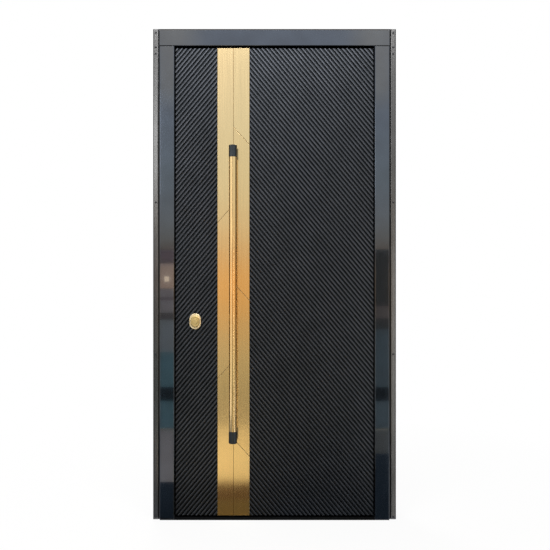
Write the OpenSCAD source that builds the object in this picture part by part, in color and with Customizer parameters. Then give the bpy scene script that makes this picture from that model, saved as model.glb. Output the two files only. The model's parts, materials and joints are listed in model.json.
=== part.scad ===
// Single-leaf steel entrance door in its folded frame, drawn closed.
// The outside faces -Y. Y = 0 is the outside face of the wall, Z = 0 the finished floor and
// X = 0 the middle of the opening. The leaf hangs on the +X side and opens inwards, to +Y.

/* [Overall] */
// Width over the two wall strips
overall_w = 1067; // [960:1:1300]
// Height from the floor to the top of the frame
overall_h = 2153; // [2000:1:2400]

/* [Frame] */
// Sheet thickness of the folded frame
sheet_t = 2; // [1.5:0.1:2.5]
// Inside radius of the folds
fold_r = 1.5; // [1:0.1:1.8]
// Width of the raised strip that lies against the wall on each side
strip_w = 24; // [18:0.5:30]
// How far the raised strip stands out from the wall
strip_d = 10; // [9:0.5:14]
// Groove between the raised strip and the side architrave
groove_w = 6.5; // [5:0.5:9]
// Depth of the fold that the leaf closes against
stop_d = 8; // [8:0.5:12]
// How far the head lip stands out from the wall
head_lip_d = 10; // [10:0.5:20]
// Width of the frame's inside flange
inner_flange_w = 48; // [42:1:60]
// Diameter of the fixing holes in the raised strips
fixing_d = 7; // [5:0.5:9]
// Distance of the lowest fixing holes from the floor
fixing_low = 11; // [10:1:30]
// Height of the lower middle fixing holes
fixing_lower = 725; // [500:5:900]
// Height of the upper middle fixing holes
fixing_upper = 1392; // [1100:5:1600]
// Distance of the top fixing holes from the top of the frame
fixing_top = 17; // [12:1:25]
// Distance of the pair of corner fixing holes from the top of the frame
fixing_corner = 94; // [80:1:120]
// Spacing of the pair of corner fixing holes
fixing_pair = 29; // [20:1:40]

/* [Architraves] */
// Width of a side architrave board
side_board_w = 64; // [50:1:90]
// Height of the head architrave board
head_board_h = 69; // [50:1:90]
// Thickness of the architrave boards
board_t = 20; // [16:1:24]
// Rounding of the front edges of the boards
board_r = 2.5; // [1:0.5:4]
// Joint between the head board and the side boards
board_joint = 2; // [1:0.5:3]
// Gap between the head board and the head lip
head_board_gap = 5.5; // [1:0.5:8]
// Gap between the boards and the floor
foot_gap = 3; // [1:0.5:6]
// Width of the inside trim boards
inner_trim_w = 45; // [35:1:46]
// Thickness of the inside trim boards
inner_trim_t = 12; // [8:1:16]
// Set-back of the inside trim from the edge of the opening
inner_trim_set = 18; // [17:0.5:20]

/* [Leaf] */
// Gap between the leaf's front panels and the side architraves
side_gap = 5.5; // [5:0.5:8]
// Gap between the leaf's front panels and the head architrave
head_gap = 9.5; // [6:0.5:12]
// Gap between the leaf and the threshold
sill_gap = 8; // [6:0.5:12]
// How far the leaf's steel body reaches behind the frame's stop
leaf_overlap = 15.5; // [12:0.5:18]
// Gap between the leaf's edge and the frame's rebate
rebate_gap = 11.5; // [10:0.5:14]
// Thickness of the leaf's steel body
core_t = 59; // [45:1:70]
// Thickness of the inside panel
inner_panel_t = 10; // [6:1:14]
// Thickness of the ribbed front panels, without their ribs
panel_t = 19; // [14:0.5:21]
// Thickness of the rubber seal on the frame's stop
seal_t = 2.7; // [2:0.1:4]
// Width of the rubber seal
seal_w = 10; // [6:1:12]
// Clearance between the seal and the leaf
seal_clear = 0.3; // [0.2:0.1:0.5]
// Height of the threshold
sill_h = 11; // [10:1:20]
// How far the threshold reaches in front of the wall face
sill_nose = 19; // [14:1:20]

/* [Ribs] */
// Distance from rib to rib, square to the ribs
rib_pitch = 15; // [14:0.1:20]
// Height of a rib above the panel board
rib_h = 6; // [4:0.5:8]
// Slope of the ribs above the horizontal
rib_angle = 50; // [40:1:60]
// Width of the top of a rib
rib_crest = 6.6; // [4.5:0.1:8]
// Width of the flat between two ribs
rib_root = 2.6; // [1:0.1:4]
// Eased edge along both sides of a rib's top
rib_ease = 0.8; // [0.2:0.1:1]
// Where a rib of the narrow panel crosses its lower outer corner, square to the ribs
rib_shift_left = 4.8; // [0:0.1:14]
// Where a rib of the wide panel crosses its lower outer corner, square to the ribs
rib_shift_right = 12.6; // [0:0.1:14]

/* [Gold strip] */
// Width of the gold strip
gold_w = 141.6; // [100:0.1:200]
// Distance of the gold strip from the lock-side edge of the front
gold_set = 182.7; // [150:0.1:240]
// Thickness of the gold plates
plate_t = 3; // [2:0.5:4]
// How far the gold plates stand proud of the ribs
plate_proud = 2; // [1:0.5:4]
// Width of the joints between the plates
plate_joint = 1.5; // [1:0.1:3]
// Bevel along the outer edges of the gold strip
plate_bevel = 1.5; // [0.5:0.1:1.8]
// Slope of the slanted joints below the horizontal
joint_angle = 47.7; // [35:0.1:55]
// Height of the first slanted joint below the top of the front, at the middle line
joint_first = 345; // [250:1:420]
// Step down from one slanted joint to the next, left and right in turn
joint_step = 341.7; // [300:0.1:345]

/* [Pull handle] */
// Length of the whole pull handle
pull_len = 1290; // [800:5:1500]
// Height of the middle of the pull handle
pull_z = 990; // [900:5:1100]
// Diameter of the pull bar
pull_d = 35; // [28:0.5:38]
// Distance from the gold plates to the middle of the bar
pull_out = 44; // [40:1:70]
// Diameter of the black end caps
cap_d = 36; // [30:0.5:42]
// Length of a black end cap
cap_len = 52; // [40:1:70]
// Diameter of the stud that carries an end cap
stud_d = 22; // [14:1:26]
// Diameter of the foot of that stud
foot_d = 30; // [27:1:34]
// Thickness of the foot
foot_t = 4; // [3:0.5:8]

/* [Lock] */
// Distance of the lock cylinder from the leaf's lock-side edge
lock_set = 106.5; // [80:0.5:125]
// Height of the lock cylinder
lock_z = 869.5; // [820:0.5:1000]
// Width of the outside cylinder guard
guard_w = 50.5; // [44:0.5:60]
// Height of the outside cylinder guard
guard_h = 69.5; // [62:0.5:80]
// Thickness of the guard's plate
guard_t = 5; // [3:0.5:8]
// Width of the guard's raised boss
boss_w = 39; // [34:0.5:42]
// Height of the guard's raised boss
boss_h = 51; // [46:0.5:58]
// Height of the boss above its plate
boss_t = 8; // [5:0.5:14]
// Diameter of the cylinder cover
cover_d = 24; // [16:0.5:28]
// Height of the cylinder cover above the boss
cover_t = 3; // [2:0.5:6]
// Width of the lock's faceplate in the leaf edge
face_w = 24; // [20:1:28]
// Length of the lock's faceplate
face_l = 285; // [275:5:320]
// Thickness of the faceplate
face_t = 2.5; // [2:0.5:4]
// Diameter of the round bolts
bolt_d = 16; // [12:1:18]
// Spacing of the round bolts
bolt_step = 30; // [24:1:34]
// Depth of the bolt pockets in the leaf
bolt_deep = 30; // [20:1:40]
// Clearance round a bolt
bolt_clear = 0.3; // [0.2:0.1:1]
// Thickness of the strike plate on the jamb
strike_t = 2.5; // [1.5:0.5:3]
// Distance from the lock cylinder up to the lever
lever_up = 85; // [72:0.5:92]

/* [Inside handle] */
// Width of the inside handle plate
back_w = 44; // [38:1:50]
// Height of the inside handle plate
back_h = 236; // [220:1:260]
// Thickness of the inside handle plate
back_t = 8; // [6:1:10]
// Diameter of the lever's round bar
lever_d = 18; // [14:1:22]
// Distance from the handle plate to the middle of the lever's grip
lever_out = 48; // [42:1:60]
// Length of the lever from its pivot
lever_len = 130; // [110:5:150]
// Diameter of the thumb turn's base
turn_d = 30; // [26:1:36]
// Height of the thumb turn's base
turn_base = 6; // [4:1:10]
// Height of the thumb turn's wing above its base
turn_wing = 16; // [12:1:22]
// Thickness of the thumb turn's wing
turn_t = 8; // [6:1:12]

/* [Hinges] */
// Diameter of a hinge barrel
barrel_d = 20; // [16:0.5:22]
// Length of each half of a barrel
knuckle_h = 60; // [45:1:80]
// Diameter of a hinge pin
pin_d = 12; // [10:0.5:12.5]
// Running clearance round the pin
pin_clear = 0.05; // [0.02:0.01:0.1]
// Gap between the two halves of a barrel
knuckle_gap = 0.5; // [0.3:0.1:1]
// Distance of the hinge axis from the leaf's inside face
axis_out = 13; // [12:0.5:16]
// Length of the wing that is screwed to the leaf
wing_l = 34; // [26:1:44]
// Thickness of the hinge wings
wing_t = 4; // [3:0.5:5]
// Distance of the end hinges from the ends of the leaf
hinge_set = 230; // [150:5:350]

/* [Hidden] */
$fn = 64;

eps = 1; // how far a cutter runs past the face that it cuts
half_t = sheet_t / 2; // from the sheet's middle to its faces
bend_steps = 5; // flats in a quarter of a fold

// Across the opening, from the middle outwards
half_w = overall_w / 2;
strip_x = half_w - strip_w; // inner side of the raised wall strip
board_x = strip_x - groove_w; // outer edge of a side architrave
open_x = board_x - side_board_w; // edge of the opening
front_x = open_x - side_gap; // edge of the leaf's front panels
core_x = open_x + leaf_overlap; // edge of the leaf's steel body
rebate_x = core_x + rebate_gap; // the frame's rebate
trim_x = rebate_x + inner_trim_set; // inner edge of the inside trim

// Through the wall, from the outside inwards
core_y = stop_d + seal_t + seal_clear; // front of the leaf's steel body
inner_y = core_y + core_t; // back of the steel body
frame_d = inner_y + inner_panel_t; // inside face of the leaf and of the frame
board_y = -sheet_t - board_t; // front of the architraves
root_y = core_y - panel_t; // front of the panel boards, between the ribs
crest_y = root_y - rib_h; // top of the ribs
plate_y = crest_y - plate_proud; // front of the gold plates

// Upwards
head_board_top = overall_h - sheet_t - head_board_gap;
open_z = head_board_top - head_board_h; // top of the opening
front_top = open_z - head_gap; // top of the leaf's front panels
core_top = open_z + leaf_overlap; // top of the leaf's steel body
rebate_z = core_top + rebate_gap;
leaf_z = sill_h + sill_gap; // underside of the leaf
front_h = front_top - leaf_z;
core_h = core_top - leaf_z;

// On the front of the leaf
gold_left = -front_x + gold_set;
gold_right = gold_left + gold_w;
gold_x = gold_left + gold_w / 2;
lock_x = -core_x + lock_set;
lever_z = lock_z + lever_up;
pull_y = plate_y - pull_out;
pull_low = pull_z - pull_len / 2;
pull_high = pull_z + pull_len / 2;

// Hinges
axis_x = (core_x + rebate_x) / 2;
axis_y = frame_d + axis_out;
hinge_heights = [leaf_z + hinge_set, (leaf_z + core_top) / 2, core_top - hinge_set];

face_y = core_y + core_t / 2; // middle of the lock's faceplate, through the leaf
fixing_x = half_w - strip_w / 2;
fixing_heights = [fixing_low, fixing_lower, fixing_upper,
    overall_h - fixing_corner - fixing_pair / 2, overall_h - fixing_corner + fixing_pair / 2,
    overall_h - fixing_top];

black_steel = "#2b2f33";
grey_steel = "#6c6c70";
anthracite = "#3d454c";
rib_black = "#26282b";
gold = "#c9a35c";
rubber = "#141414";
steel = "#9a9ca0";
white_board = "#d8d6d0";

// ---- Folded sheet ----

function unit(v) = v / norm(v);
function left_of(v) = [-v[1], v[0]];
function turn(u, v) = u[0] * v[1] - u[1] * v[0];

// One face of a sheet folded square along a path: side is 1 for its left face, -1 for its right.
function sheet_face(path, side) = let (n = len(path), r = fold_r + half_t)
    concat(
        [path[0] + side * half_t * left_of(unit(path[1] - path[0]))],
        [for (i = [1 : n - 2])
            let (u = unit(path[i] - path[i - 1]), v = unit(path[i + 1] - path[i]),
                mid = path[i] - u * r + v * r, rho = r - side * turn(u, v) * half_t)
            for (k = [0 : bend_steps])
                let (a = 90 * k / bend_steps) mid + rho * (u * sin(a) - v * cos(a))],
        [path[n - 1] + side * half_t * left_of(unit(path[n - 1] - path[n - 2]))]);

function reversed(list) = [for (i = [len(list) - 1 : -1 : 0]) list[i]];

module folded_sheet(path) {
    polygon(concat(sheet_face(path, 1), reversed(sheet_face(path, -1))));
}

// ---- Frame ----

jamb_path = [
    [half_w - half_t, 0],
    [half_w - half_t, half_t - strip_d],
    [strip_x + half_t, half_t - strip_d],
    [strip_x + half_t, -half_t],
    [open_x + half_t, -half_t],
    [open_x + half_t, stop_d - half_t],
    [rebate_x + half_t, stop_d - half_t],
    [rebate_x + half_t, frame_d - half_t],
    [rebate_x + inner_flange_w, frame_d - half_t]];

// Across the head: first number is Y, second is Z.
head_path = [
    [-head_lip_d, overall_h - half_t],
    [-half_t, overall_h - half_t],
    [-half_t, open_z + half_t],
    [stop_d - half_t, open_z + half_t],
    [stop_d - half_t, rebate_z + half_t],
    [frame_d - half_t, rebate_z + half_t],
    [frame_d - half_t, overall_h]];

// A section drawn with X for its Y and Y for its Z, run across the door from -reach to reach.
module across(reach) {
    translate([-reach, 0, 0])
        rotate([90, 0, 90])
            linear_extrude(2 * reach)
                children();
}

module jamb() {
    difference() {
        linear_extrude(overall_h) folded_sheet(jamb_path);
        for (z = fixing_heights)
            translate([fixing_x, sheet_t + eps - strip_d, z])
                rotate([90, 0, 0]) cylinder(d = fixing_d, h = sheet_t + 2 * eps);
    }
}

module bolt_holes(x, h, extra) {
    for (i = [-1 : 1])
        translate([x, face_y, lock_z + i * bolt_step])
            rotate([0, 90, 0]) cylinder(d = bolt_d + 2 * extra, h = h);
}

module latch_hole(x, h, extra) {
    translate([x, face_y - bolt_d / 2 - extra, lever_z - bolt_d / 2 - extra])
        cube([h, bolt_d + 2 * extra, bolt_d + 2 * extra]);
}

// One slot behind the strike plate lets the bolts and the latch through the jamb.
module lock_slot() {
    w = bolt_d + 2 * bolt_clear;
    translate([-rebate_x - sheet_t - eps, face_y - w / 2, lock_z - bolt_step - w / 2])
        cube([sheet_t + 2 * eps, w, bolt_step + lever_up + w]);
}

module left_jamb() {
    color(grey_steel) difference() {
        mirror([1, 0, 0]) jamb();
        lock_slot();
    }
}

module right_jamb() {
    color(grey_steel) jamb();
}

// The jambs run to the top, so the head's section is cut back where it meets them.
module jamb_notches(top) {
    for (side = [0, 1]) mirror([side, 0, 0]) {
        translate([open_x, -sheet_t, -eps]) cube([half_w, sheet_t + stop_d, top + 2 * eps]);
        translate([rebate_x, stop_d - eps, -eps]) cube([half_w, frame_d + 2 * eps, top + 2 * eps]);
    }
}

module head_jamb() {
    color(black_steel) difference() {
        across(strip_x) folded_sheet(head_path);
        jamb_notches(overall_h);
    }
}

module threshold() {
    nose_r = 3;
    color(black_steel) difference() {
        across(rebate_x) polygon([
            [-sill_nose + nose_r, 0], [frame_d, 0], [frame_d, sill_h - nose_r], [frame_d - nose_r, sill_h],
            [-sill_nose + nose_r, sill_h], [-sill_nose, sill_h - nose_r], [-sill_nose, nose_r]]);
        for (side = [0, 1]) mirror([side, 0, 0])
            translate([open_x, -sill_nose - eps, -eps])
                cube([half_w, sill_nose + stop_d + eps, sill_h + 2 * eps]);
    }
}

// ---- Architraves and inside trim ----

// A board's section, with its front at the bottom and the two front edges rounded.
module board_section(w, t, r) {
    arc = [for (k = [0 : bend_steps]) 90 * k / bend_steps];
    polygon(concat(
        [for (a = arc) [r - r * cos(a), r - r * sin(a)]],
        [for (a = arc) [w - r + r * sin(a), r - r * cos(a)]],
        [[w, t], [0, t]]));
}

module side_architrave() {
    translate([open_x, board_y, foot_gap])
        linear_extrude(open_z - board_joint - foot_gap) board_section(side_board_w, board_t, board_r);
}

module left_architrave() {
    color(anthracite) mirror([1, 0, 0]) side_architrave();
}

module right_architrave() {
    color(anthracite) side_architrave();
}

module head_architrave() {
    color(anthracite)
        translate([-board_x, board_y, head_board_top])
            rotate([0, 90, 0]) linear_extrude(2 * board_x)
                board_section(head_board_h, board_t, board_r);
}

module side_inner_trim() {
    translate([trim_x, frame_d, 0])
        linear_extrude(rebate_z + inner_trim_set) inner_trim_section();
}

module inner_trim_section() {
    translate([0, inner_trim_t]) mirror([0, 1]) board_section(inner_trim_w, inner_trim_t, board_r);
}

module left_inner_trim() {
    color(white_board) mirror([1, 0, 0]) side_inner_trim();
}

module right_inner_trim() {
    color(white_board) side_inner_trim();
}

module head_inner_trim() {
    h = overall_h - rebate_z - inner_trim_set;
    color(white_board)
        translate([-trim_x - inner_trim_w, frame_d, overall_h])
            rotate([0, 90, 0]) linear_extrude(2 * (trim_x + inner_trim_w))
                translate([0, inner_trim_t]) mirror([0, 1]) board_section(h, inner_trim_t, board_r);
}

// ---- Seals ----

// A flat rubber strip with a rounded face towards the leaf, standing on the frame's stop.
module seal_section() {
    translate([-seal_w / 2, 0]) polygon(concat(
        [[0, 0], [seal_w, 0]],
        [for (a = [0 : 20 : 180]) [seal_w / 2 + seal_w / 2 * cos(a), seal_t / 2 + seal_t / 2 * sin(a)]]));
}

seal_x = (open_x + core_x) / 2;
seal_z = (open_z + core_top) / 2;

module side_seal() {
    translate([seal_x, stop_d, 0])
        translate([0, 0, sill_h]) linear_extrude(seal_z - seal_w / 2 - sill_h) seal_section();
}

module left_seal() {
    color(rubber) mirror([1, 0, 0]) side_seal();
}

module right_seal() {
    color(rubber) side_seal();
}

module head_seal() {
    color(rubber)
        translate([-seal_x - seal_w / 2, stop_d, seal_z])
            rotate([0, 90, 0]) linear_extrude(2 * seal_x + seal_w) seal_section();
}

// ---- Lock side ----

module strike_plate() {
    h = lever_z - lock_z + 4 * bolt_step;
    color(steel) difference() {
        translate([-rebate_x, face_y - face_w / 2, lock_z - 2 * bolt_step]) cube([strike_t, face_w, h]);
        bolt_holes(-rebate_x - eps, strike_t + 2 * eps, bolt_clear);
        latch_hole(-rebate_x - eps, strike_t + 2 * eps, bolt_clear);
    }
}

face_low = lock_z + lever_up / 2 - face_l / 2;

module lock_faceplate() {
    color(steel) difference() {
        translate([-core_x, face_y - face_w / 2, face_low]) cube([face_t, face_w, face_l]);
        bolt_holes(-core_x - eps, face_t + 2 * eps, bolt_clear);
        latch_hole(-core_x - eps, face_t + 2 * eps, bolt_clear);
    }
}

// Bolts and latch drawn back, with their ends flush with the faceplate.
module lock_bolts() {
    color(steel) {
        bolt_holes(-core_x, bolt_deep, 0);
        latch_hole(-core_x, bolt_deep, 0);
    }
}

// ---- Leaf ----

module leaf_body() {
    color(black_steel) difference() {
        translate([-core_x, core_y, leaf_z]) cube([2 * core_x, core_t, core_h]);
        translate([-core_x - eps, face_y - face_w / 2, face_low]) cube([face_t + eps, face_w, face_l]);
        bolt_holes(-core_x - eps, bolt_deep + eps, bolt_clear);
        latch_hole(-core_x - eps, bolt_deep + eps, bolt_clear);
    }
}

module inside_panel() {
    color(white_board)
        translate([-core_x, frame_d, leaf_z])
            linear_extrude(core_h) mirror([0, 1]) board_section(2 * core_x, inner_panel_t, board_r);
}

// One pitch of the ribbed face: root flat, slope up, eased edge, top, eased edge, slope down.
slope_w = (rib_pitch - rib_crest - rib_root) / 2;
function rib_points(i) = let (foot = i * rib_pitch + rib_root, low = slope_w * (1 - rib_ease / rib_h),
        near = foot + slope_w, far = near + rib_crest) [
    [i * rib_pitch, 0], [foot, 0],
    [foot + low, rib_h - rib_ease], [near + rib_ease, rib_h],
    [far - rib_ease, rib_h], [far + slope_w - low, rib_h - rib_ease]];

// A board with slanting ribs: w wide, h high, its ribs rising to the right. Its ribs run along a
// comb-shaped section that is drawn across them and starts below the board's lowest corner. The
// middle of one rib crosses the square through the board's lower left corner at shift.
module ribbed_board(w, h, shift) {
    reach = w * cos(rib_angle) + h * sin(rib_angle) + 2 * eps;
    below = ceil(w * sin(rib_angle) / rib_pitch) + 1;
    first = shift - (rib_pitch + rib_root) / 2 - below * rib_pitch;
    count = ceil((h * cos(rib_angle) - first) / rib_pitch);
    intersection() {
        translate([0, -rib_h - eps, 0]) cube([w, rib_h + panel_t + eps, h]);
        rotate([0, -rib_angle, 0]) translate([-eps, 0, first]) rotate([90, 0, 90]) linear_extrude(reach)
            polygon(concat(
                [[panel_t, 0]],
                [for (i = [0 : count]) for (p = rib_points(i)) [-p[1], p[0]]],
                [[0, (count + 1) * rib_pitch], [panel_t, (count + 1) * rib_pitch]]));
    }
}

module left_ribbed_panel() {
    color(rib_black) translate([-front_x, root_y, leaf_z]) ribbed_board(gold_set, front_h, rib_shift_left);
}

module right_ribbed_panel() {
    color(rib_black) translate([front_x, root_y, leaf_z]) mirror([1, 0, 0])
        ribbed_board(front_x - gold_right, front_h, rib_shift_right);
}

// ---- Gold strip ----

module gold_backing() {
    color(rubber)
        translate([gold_left, plate_y + plate_t, leaf_z])
            cube([gold_w, core_y - plate_y - plate_t, front_h]);
}

// A plate between two slanted joints on one half of the strip. High and low are the joints'
// heights at the middle line, and undef stands for the strip's square end.
module gold_plate(high, low) {
    half = gold_w / 2;
    inner = plate_joint / 2;
    drop = plate_joint / 2 / cos(joint_angle);
    fall = tan(joint_angle);
    top = is_undef(high) ? [front_top, front_top]
        : [high - drop - inner * fall, high - drop - half * fall];
    bottom = is_undef(low) ? [leaf_z, leaf_z]
        : [low + drop - inner * fall, low + drop - half * fall];
    intersection() {
        translate([0, plate_y + plate_t, 0]) rotate([90, 0, 0]) linear_extrude(plate_t)
            polygon([[inner, bottom[0]], [half, bottom[1]], [half, top[1]], [inner, top[0]]]);
        translate([0, plate_y, leaf_z]) linear_extrude(front_h) polygon([
            [0, 0], [half - plate_bevel, 0], [half, plate_bevel], [half, plate_t], [0, plate_t]]);
    }
}

function joint_z(k) = front_top - joint_first - k * joint_step;

// The right half is split at joints 0, 2 and 4, the left half at joints 1 and 3.
module gold_plate_right(high, low) {
    color(gold) translate([gold_x, 0, 0]) gold_plate(high, low);
}

module gold_plate_left(high, low) {
    color(gold) translate([gold_x, 0, 0]) mirror([1, 0, 0]) gold_plate(high, low);
}

module gold_plate_left_1() { gold_plate_left(undef, joint_z(1)); }
module gold_plate_left_2() { gold_plate_left(joint_z(1), joint_z(3)); }
module gold_plate_left_3() { gold_plate_left(joint_z(3), undef); }
module gold_plate_right_1() { gold_plate_right(undef, joint_z(0)); }
module gold_plate_right_2() { gold_plate_right(joint_z(0), joint_z(2)); }
module gold_plate_right_3() { gold_plate_right(joint_z(2), joint_z(4)); }
module gold_plate_right_4() { gold_plate_right(joint_z(4), undef); }

// ---- Pull handle ----

module pull_bar() {
    color(gold) translate([gold_x, pull_y, pull_low + cap_len])
        cylinder(d = pull_d, h = pull_len - 2 * cap_len);
}

// An end cap drawn with its free end up and its bar end at z = 0.
module bar_cap() {
    edge = 2;
    r = cap_d / 2;
    color(rubber) {
        rotate_extrude() polygon([[0, 0], [r, 0], [r, cap_len - edge], [r - edge, cap_len], [0, cap_len]]);
        translate([0, pull_out, cap_len / 2]) rotate([90, 0, 0]) {
            cylinder(d = stud_d, h = pull_out);
            cylinder(d = foot_d, h = foot_t);
        }
    }
}

module upper_bar_cap() {
    translate([gold_x, pull_y, pull_high - cap_len]) bar_cap();
}

module lower_bar_cap() {
    translate([gold_x, pull_y, pull_low + cap_len]) mirror([0, 0, 1]) bar_cap();
}

// ---- Cylinder guard on the outside ----

// An upright plate with half-round ends and a bevelled front edge, its back at y = 0.
module oval_plate(w, h, t, bevel) {
    r = w / 2;
    straight = (h - w) / 2;
    for (side = [-1, 1])
        translate([0, 0, side * straight]) rotate([90, 0, 0])
            rotate_extrude() polygon([[0, 0], [r, 0], [r, t - bevel], [r - bevel, t], [0, t]]);
    translate([0, 0, -straight]) linear_extrude(2 * straight)
        polygon([[-r, 0], [-r, bevel - t], [bevel - r, -t], [r - bevel, -t], [r, bevel - t], [r, 0]]);
}

guard_y = crest_y; // the guard lies on the tops of the ribs

module cylinder_guard() {
    color(gold) translate([lock_x, guard_y, lock_z]) oval_plate(guard_w, guard_h, guard_t, 2);
}

module cylinder_boss() {
    color(gold) translate([lock_x, guard_y - guard_t, lock_z]) oval_plate(boss_w, boss_h, boss_t, 3);
}

module cylinder_cover() {
    r = cover_d / 2;
    color(gold) translate([lock_x, guard_y - guard_t - boss_t, lock_z]) rotate([90, 0, 0])
        rotate_extrude() polygon([[0, 0], [r, 0], [r, cover_t - 1], [r - 1, cover_t], [0, cover_t]]);
}

// ---- Inside handle ----

module handle_backplate() {
    color(gold) translate([lock_x, frame_d, lock_z + lever_up / 2]) mirror([0, 1, 0])
        oval_plate(back_w, back_h, back_t, 2);
}

module inside_lever() {
    r = lever_d / 2;
    bend = lever_d;
    back = frame_d + back_t;
    color(gold) translate([lock_x, back, lever_z]) {
        rotate([-90, 0, 0]) cylinder(r = r, h = lever_out - bend);
        translate([bend, lever_out - bend, 0]) rotate([0, 0, 90])
            rotate_extrude(angle = 90) translate([bend, 0]) circle(r = r);
        translate([bend, lever_out, 0]) rotate([0, 90, 0]) cylinder(r = r, h = lever_len - bend);
    }
}

module thumb_turn() {
    color(gold) translate([lock_x, frame_d + back_t, lock_z]) rotate([-90, 0, 0]) {
        cylinder(d = turn_d, h = turn_base);
        intersection() {
            translate([-turn_t / 2, -turn_d / 2, 0]) cube([turn_t, turn_d, turn_base + turn_wing]);
            cylinder(d = turn_d, h = turn_base + turn_wing);
        }
    }
}

// ---- Underside ----

module bottom_seal() {
    w = 14;
    color(rubber) translate([-core_x + 2, face_y - w / 2, sill_h + seal_clear])
        cube([2 * core_x - 4, w, sill_gap - seal_clear]);
}

// ---- Hinges ----

// The plan of one wing: it lies on the frame or leaf and rises to the barrel at the origin.
module wing_plan(reach) {
    web = barrel_d / 2 - 1;
    polygon([[0, -axis_out], [reach, -axis_out], [reach, wing_t - axis_out],
        [web, wing_t - axis_out], [web, 0], [0, 0]]);
}

// Frame half: the lower knuckle, its wing on the frame's flange and the pin.
module hinge_pin(z) {
    color(steel) translate([axis_x, axis_y, z]) {
        translate([0, 0, -knuckle_h]) linear_extrude(knuckle_h) {
            circle(d = barrel_d);
            wing_plan(trim_x - axis_x);
        }
        cylinder(d = pin_d, h = knuckle_h - wing_t);
    }
}

// Leaf half: the upper knuckle with its blind bore, and its wing on the leaf.
module hinge_barrel(z) {
    color(steel) translate([axis_x, axis_y, z + knuckle_gap]) mirror([1, 0, 0]) difference() {
        linear_extrude(knuckle_h - knuckle_gap) {
            circle(d = barrel_d);
            wing_plan(axis_x - core_x + wing_l);
        }
        translate([0, 0, -eps]) cylinder(d = pin_d + 2 * pin_clear, h = knuckle_h - wing_t + eps);
    }
}

module lower_hinge_pin() { hinge_pin(hinge_heights[0]); }
module middle_hinge_pin() { hinge_pin(hinge_heights[1]); }
module upper_hinge_pin() { hinge_pin(hinge_heights[2]); }
module lower_hinge_barrel() { hinge_barrel(hinge_heights[0]); }
module middle_hinge_barrel() { hinge_barrel(hinge_heights[1]); }
module upper_hinge_barrel() { hinge_barrel(hinge_heights[2]); }

left_jamb();
right_jamb();
head_jamb();
threshold();
left_architrave();
right_architrave();
head_architrave();
left_inner_trim();
right_inner_trim();
head_inner_trim();
left_seal();
right_seal();
head_seal();
strike_plate();
lower_hinge_pin();
middle_hinge_pin();
upper_hinge_pin();
leaf_body();
left_ribbed_panel();
right_ribbed_panel();
inside_panel();
gold_backing();
gold_plate_left_1();
gold_plate_left_2();
gold_plate_left_3();
gold_plate_right_1();
gold_plate_right_2();
gold_plate_right_3();
gold_plate_right_4();
pull_bar();
upper_bar_cap();
lower_bar_cap();
cylinder_guard();
cylinder_boss();
cylinder_cover();
lock_faceplate();
lock_bolts();
bottom_seal();
handle_backplate();
inside_lever();
thumb_turn();
lower_hinge_barrel();
middle_hinge_barrel();
upper_hinge_barrel();
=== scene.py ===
"""Finishes, screws and small fittings of a single-leaf steel entrance door, with its studio."""
import json
import math

import bmesh
import bpy
from mathutils import Matrix, Vector

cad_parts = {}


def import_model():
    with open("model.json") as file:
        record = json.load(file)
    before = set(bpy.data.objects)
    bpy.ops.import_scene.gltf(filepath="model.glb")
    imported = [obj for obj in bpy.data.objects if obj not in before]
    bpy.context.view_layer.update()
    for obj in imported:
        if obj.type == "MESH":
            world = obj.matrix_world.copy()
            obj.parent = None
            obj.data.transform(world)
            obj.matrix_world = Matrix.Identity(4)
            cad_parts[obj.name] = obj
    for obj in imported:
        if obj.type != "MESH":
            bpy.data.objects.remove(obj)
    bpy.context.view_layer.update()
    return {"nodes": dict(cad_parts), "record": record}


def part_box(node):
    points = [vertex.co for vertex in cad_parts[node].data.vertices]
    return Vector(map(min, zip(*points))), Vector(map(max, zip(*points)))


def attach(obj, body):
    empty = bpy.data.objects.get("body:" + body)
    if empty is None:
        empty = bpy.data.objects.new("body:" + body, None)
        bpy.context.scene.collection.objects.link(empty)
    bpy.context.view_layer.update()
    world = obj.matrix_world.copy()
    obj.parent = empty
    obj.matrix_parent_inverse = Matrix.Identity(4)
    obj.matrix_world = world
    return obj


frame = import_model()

MM = 0.001
OUTWARDS = Vector((0, -1, 0))
INWARDS = Vector((0, 1, 0))
TO_HINGES = Vector((1, 0, 0))
TO_LOCK = Vector((-1, 0, 0))
UP = Vector((0, 0, 1))

STRIP_WIDTH = 24 * MM  # raised wall strip along the outside of each jamb
SHEET = 2 * MM  # thickness of the frame's folded sheet
CLEAR = 0.1 * MM  # room between a small fitting and its neighbours
WING_THICKNESS = 4 * MM  # of the hinges
WING_HEIGHT = 59.5 * MM
HINGE_LEVELS = ("lower", "middle", "upper")


# ---- Helpers ----

def linear(hex_colour):
    """An sRGB hex colour as linear red, green, blue and alpha."""
    channels = [int(hex_colour[i:i + 2], 16) / 255 for i in (1, 3, 5)]
    return [c / 12.92 if c <= 0.04045 else ((c + 0.055) / 1.055) ** 2.4 for c in channels] + [1.0]


def put(tree, kind, sockets=None, **settings):
    """Adds one node: settings are its properties, sockets are values or the outputs that feed them."""
    made = tree.nodes.new(kind)
    for name, value in settings.items():
        setattr(made, name, value)
    for name, value in (sockets or {}).items():
        if isinstance(value, bpy.types.NodeSocket):
            tree.links.new(value, made.inputs[name])
        else:
            made.inputs[name].default_value = value
    return made


def repeats(mm):
    """Scale of a texture, in metres of the object, whose pattern repeats every so many millimetres."""
    return 1000.0 / mm


def start_material(name):
    """A new material with its tree, its shader and a texture place in metres."""
    made = bpy.data.materials.new(name)
    made.use_nodes = True
    tree = made.node_tree
    place = put(tree, "ShaderNodeTexCoord").outputs["Object"]
    return made, tree, tree.nodes["Principled BSDF"], place


def set_shader(shader, **values):
    """Sets the shader's own sockets: base_color stands for Base Color."""
    for name, value in values.items():
        title = name.replace("_", " ").title().replace("Ior", "IOR")
        shader.inputs[title].default_value = value


# ---- Finishes ----

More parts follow.
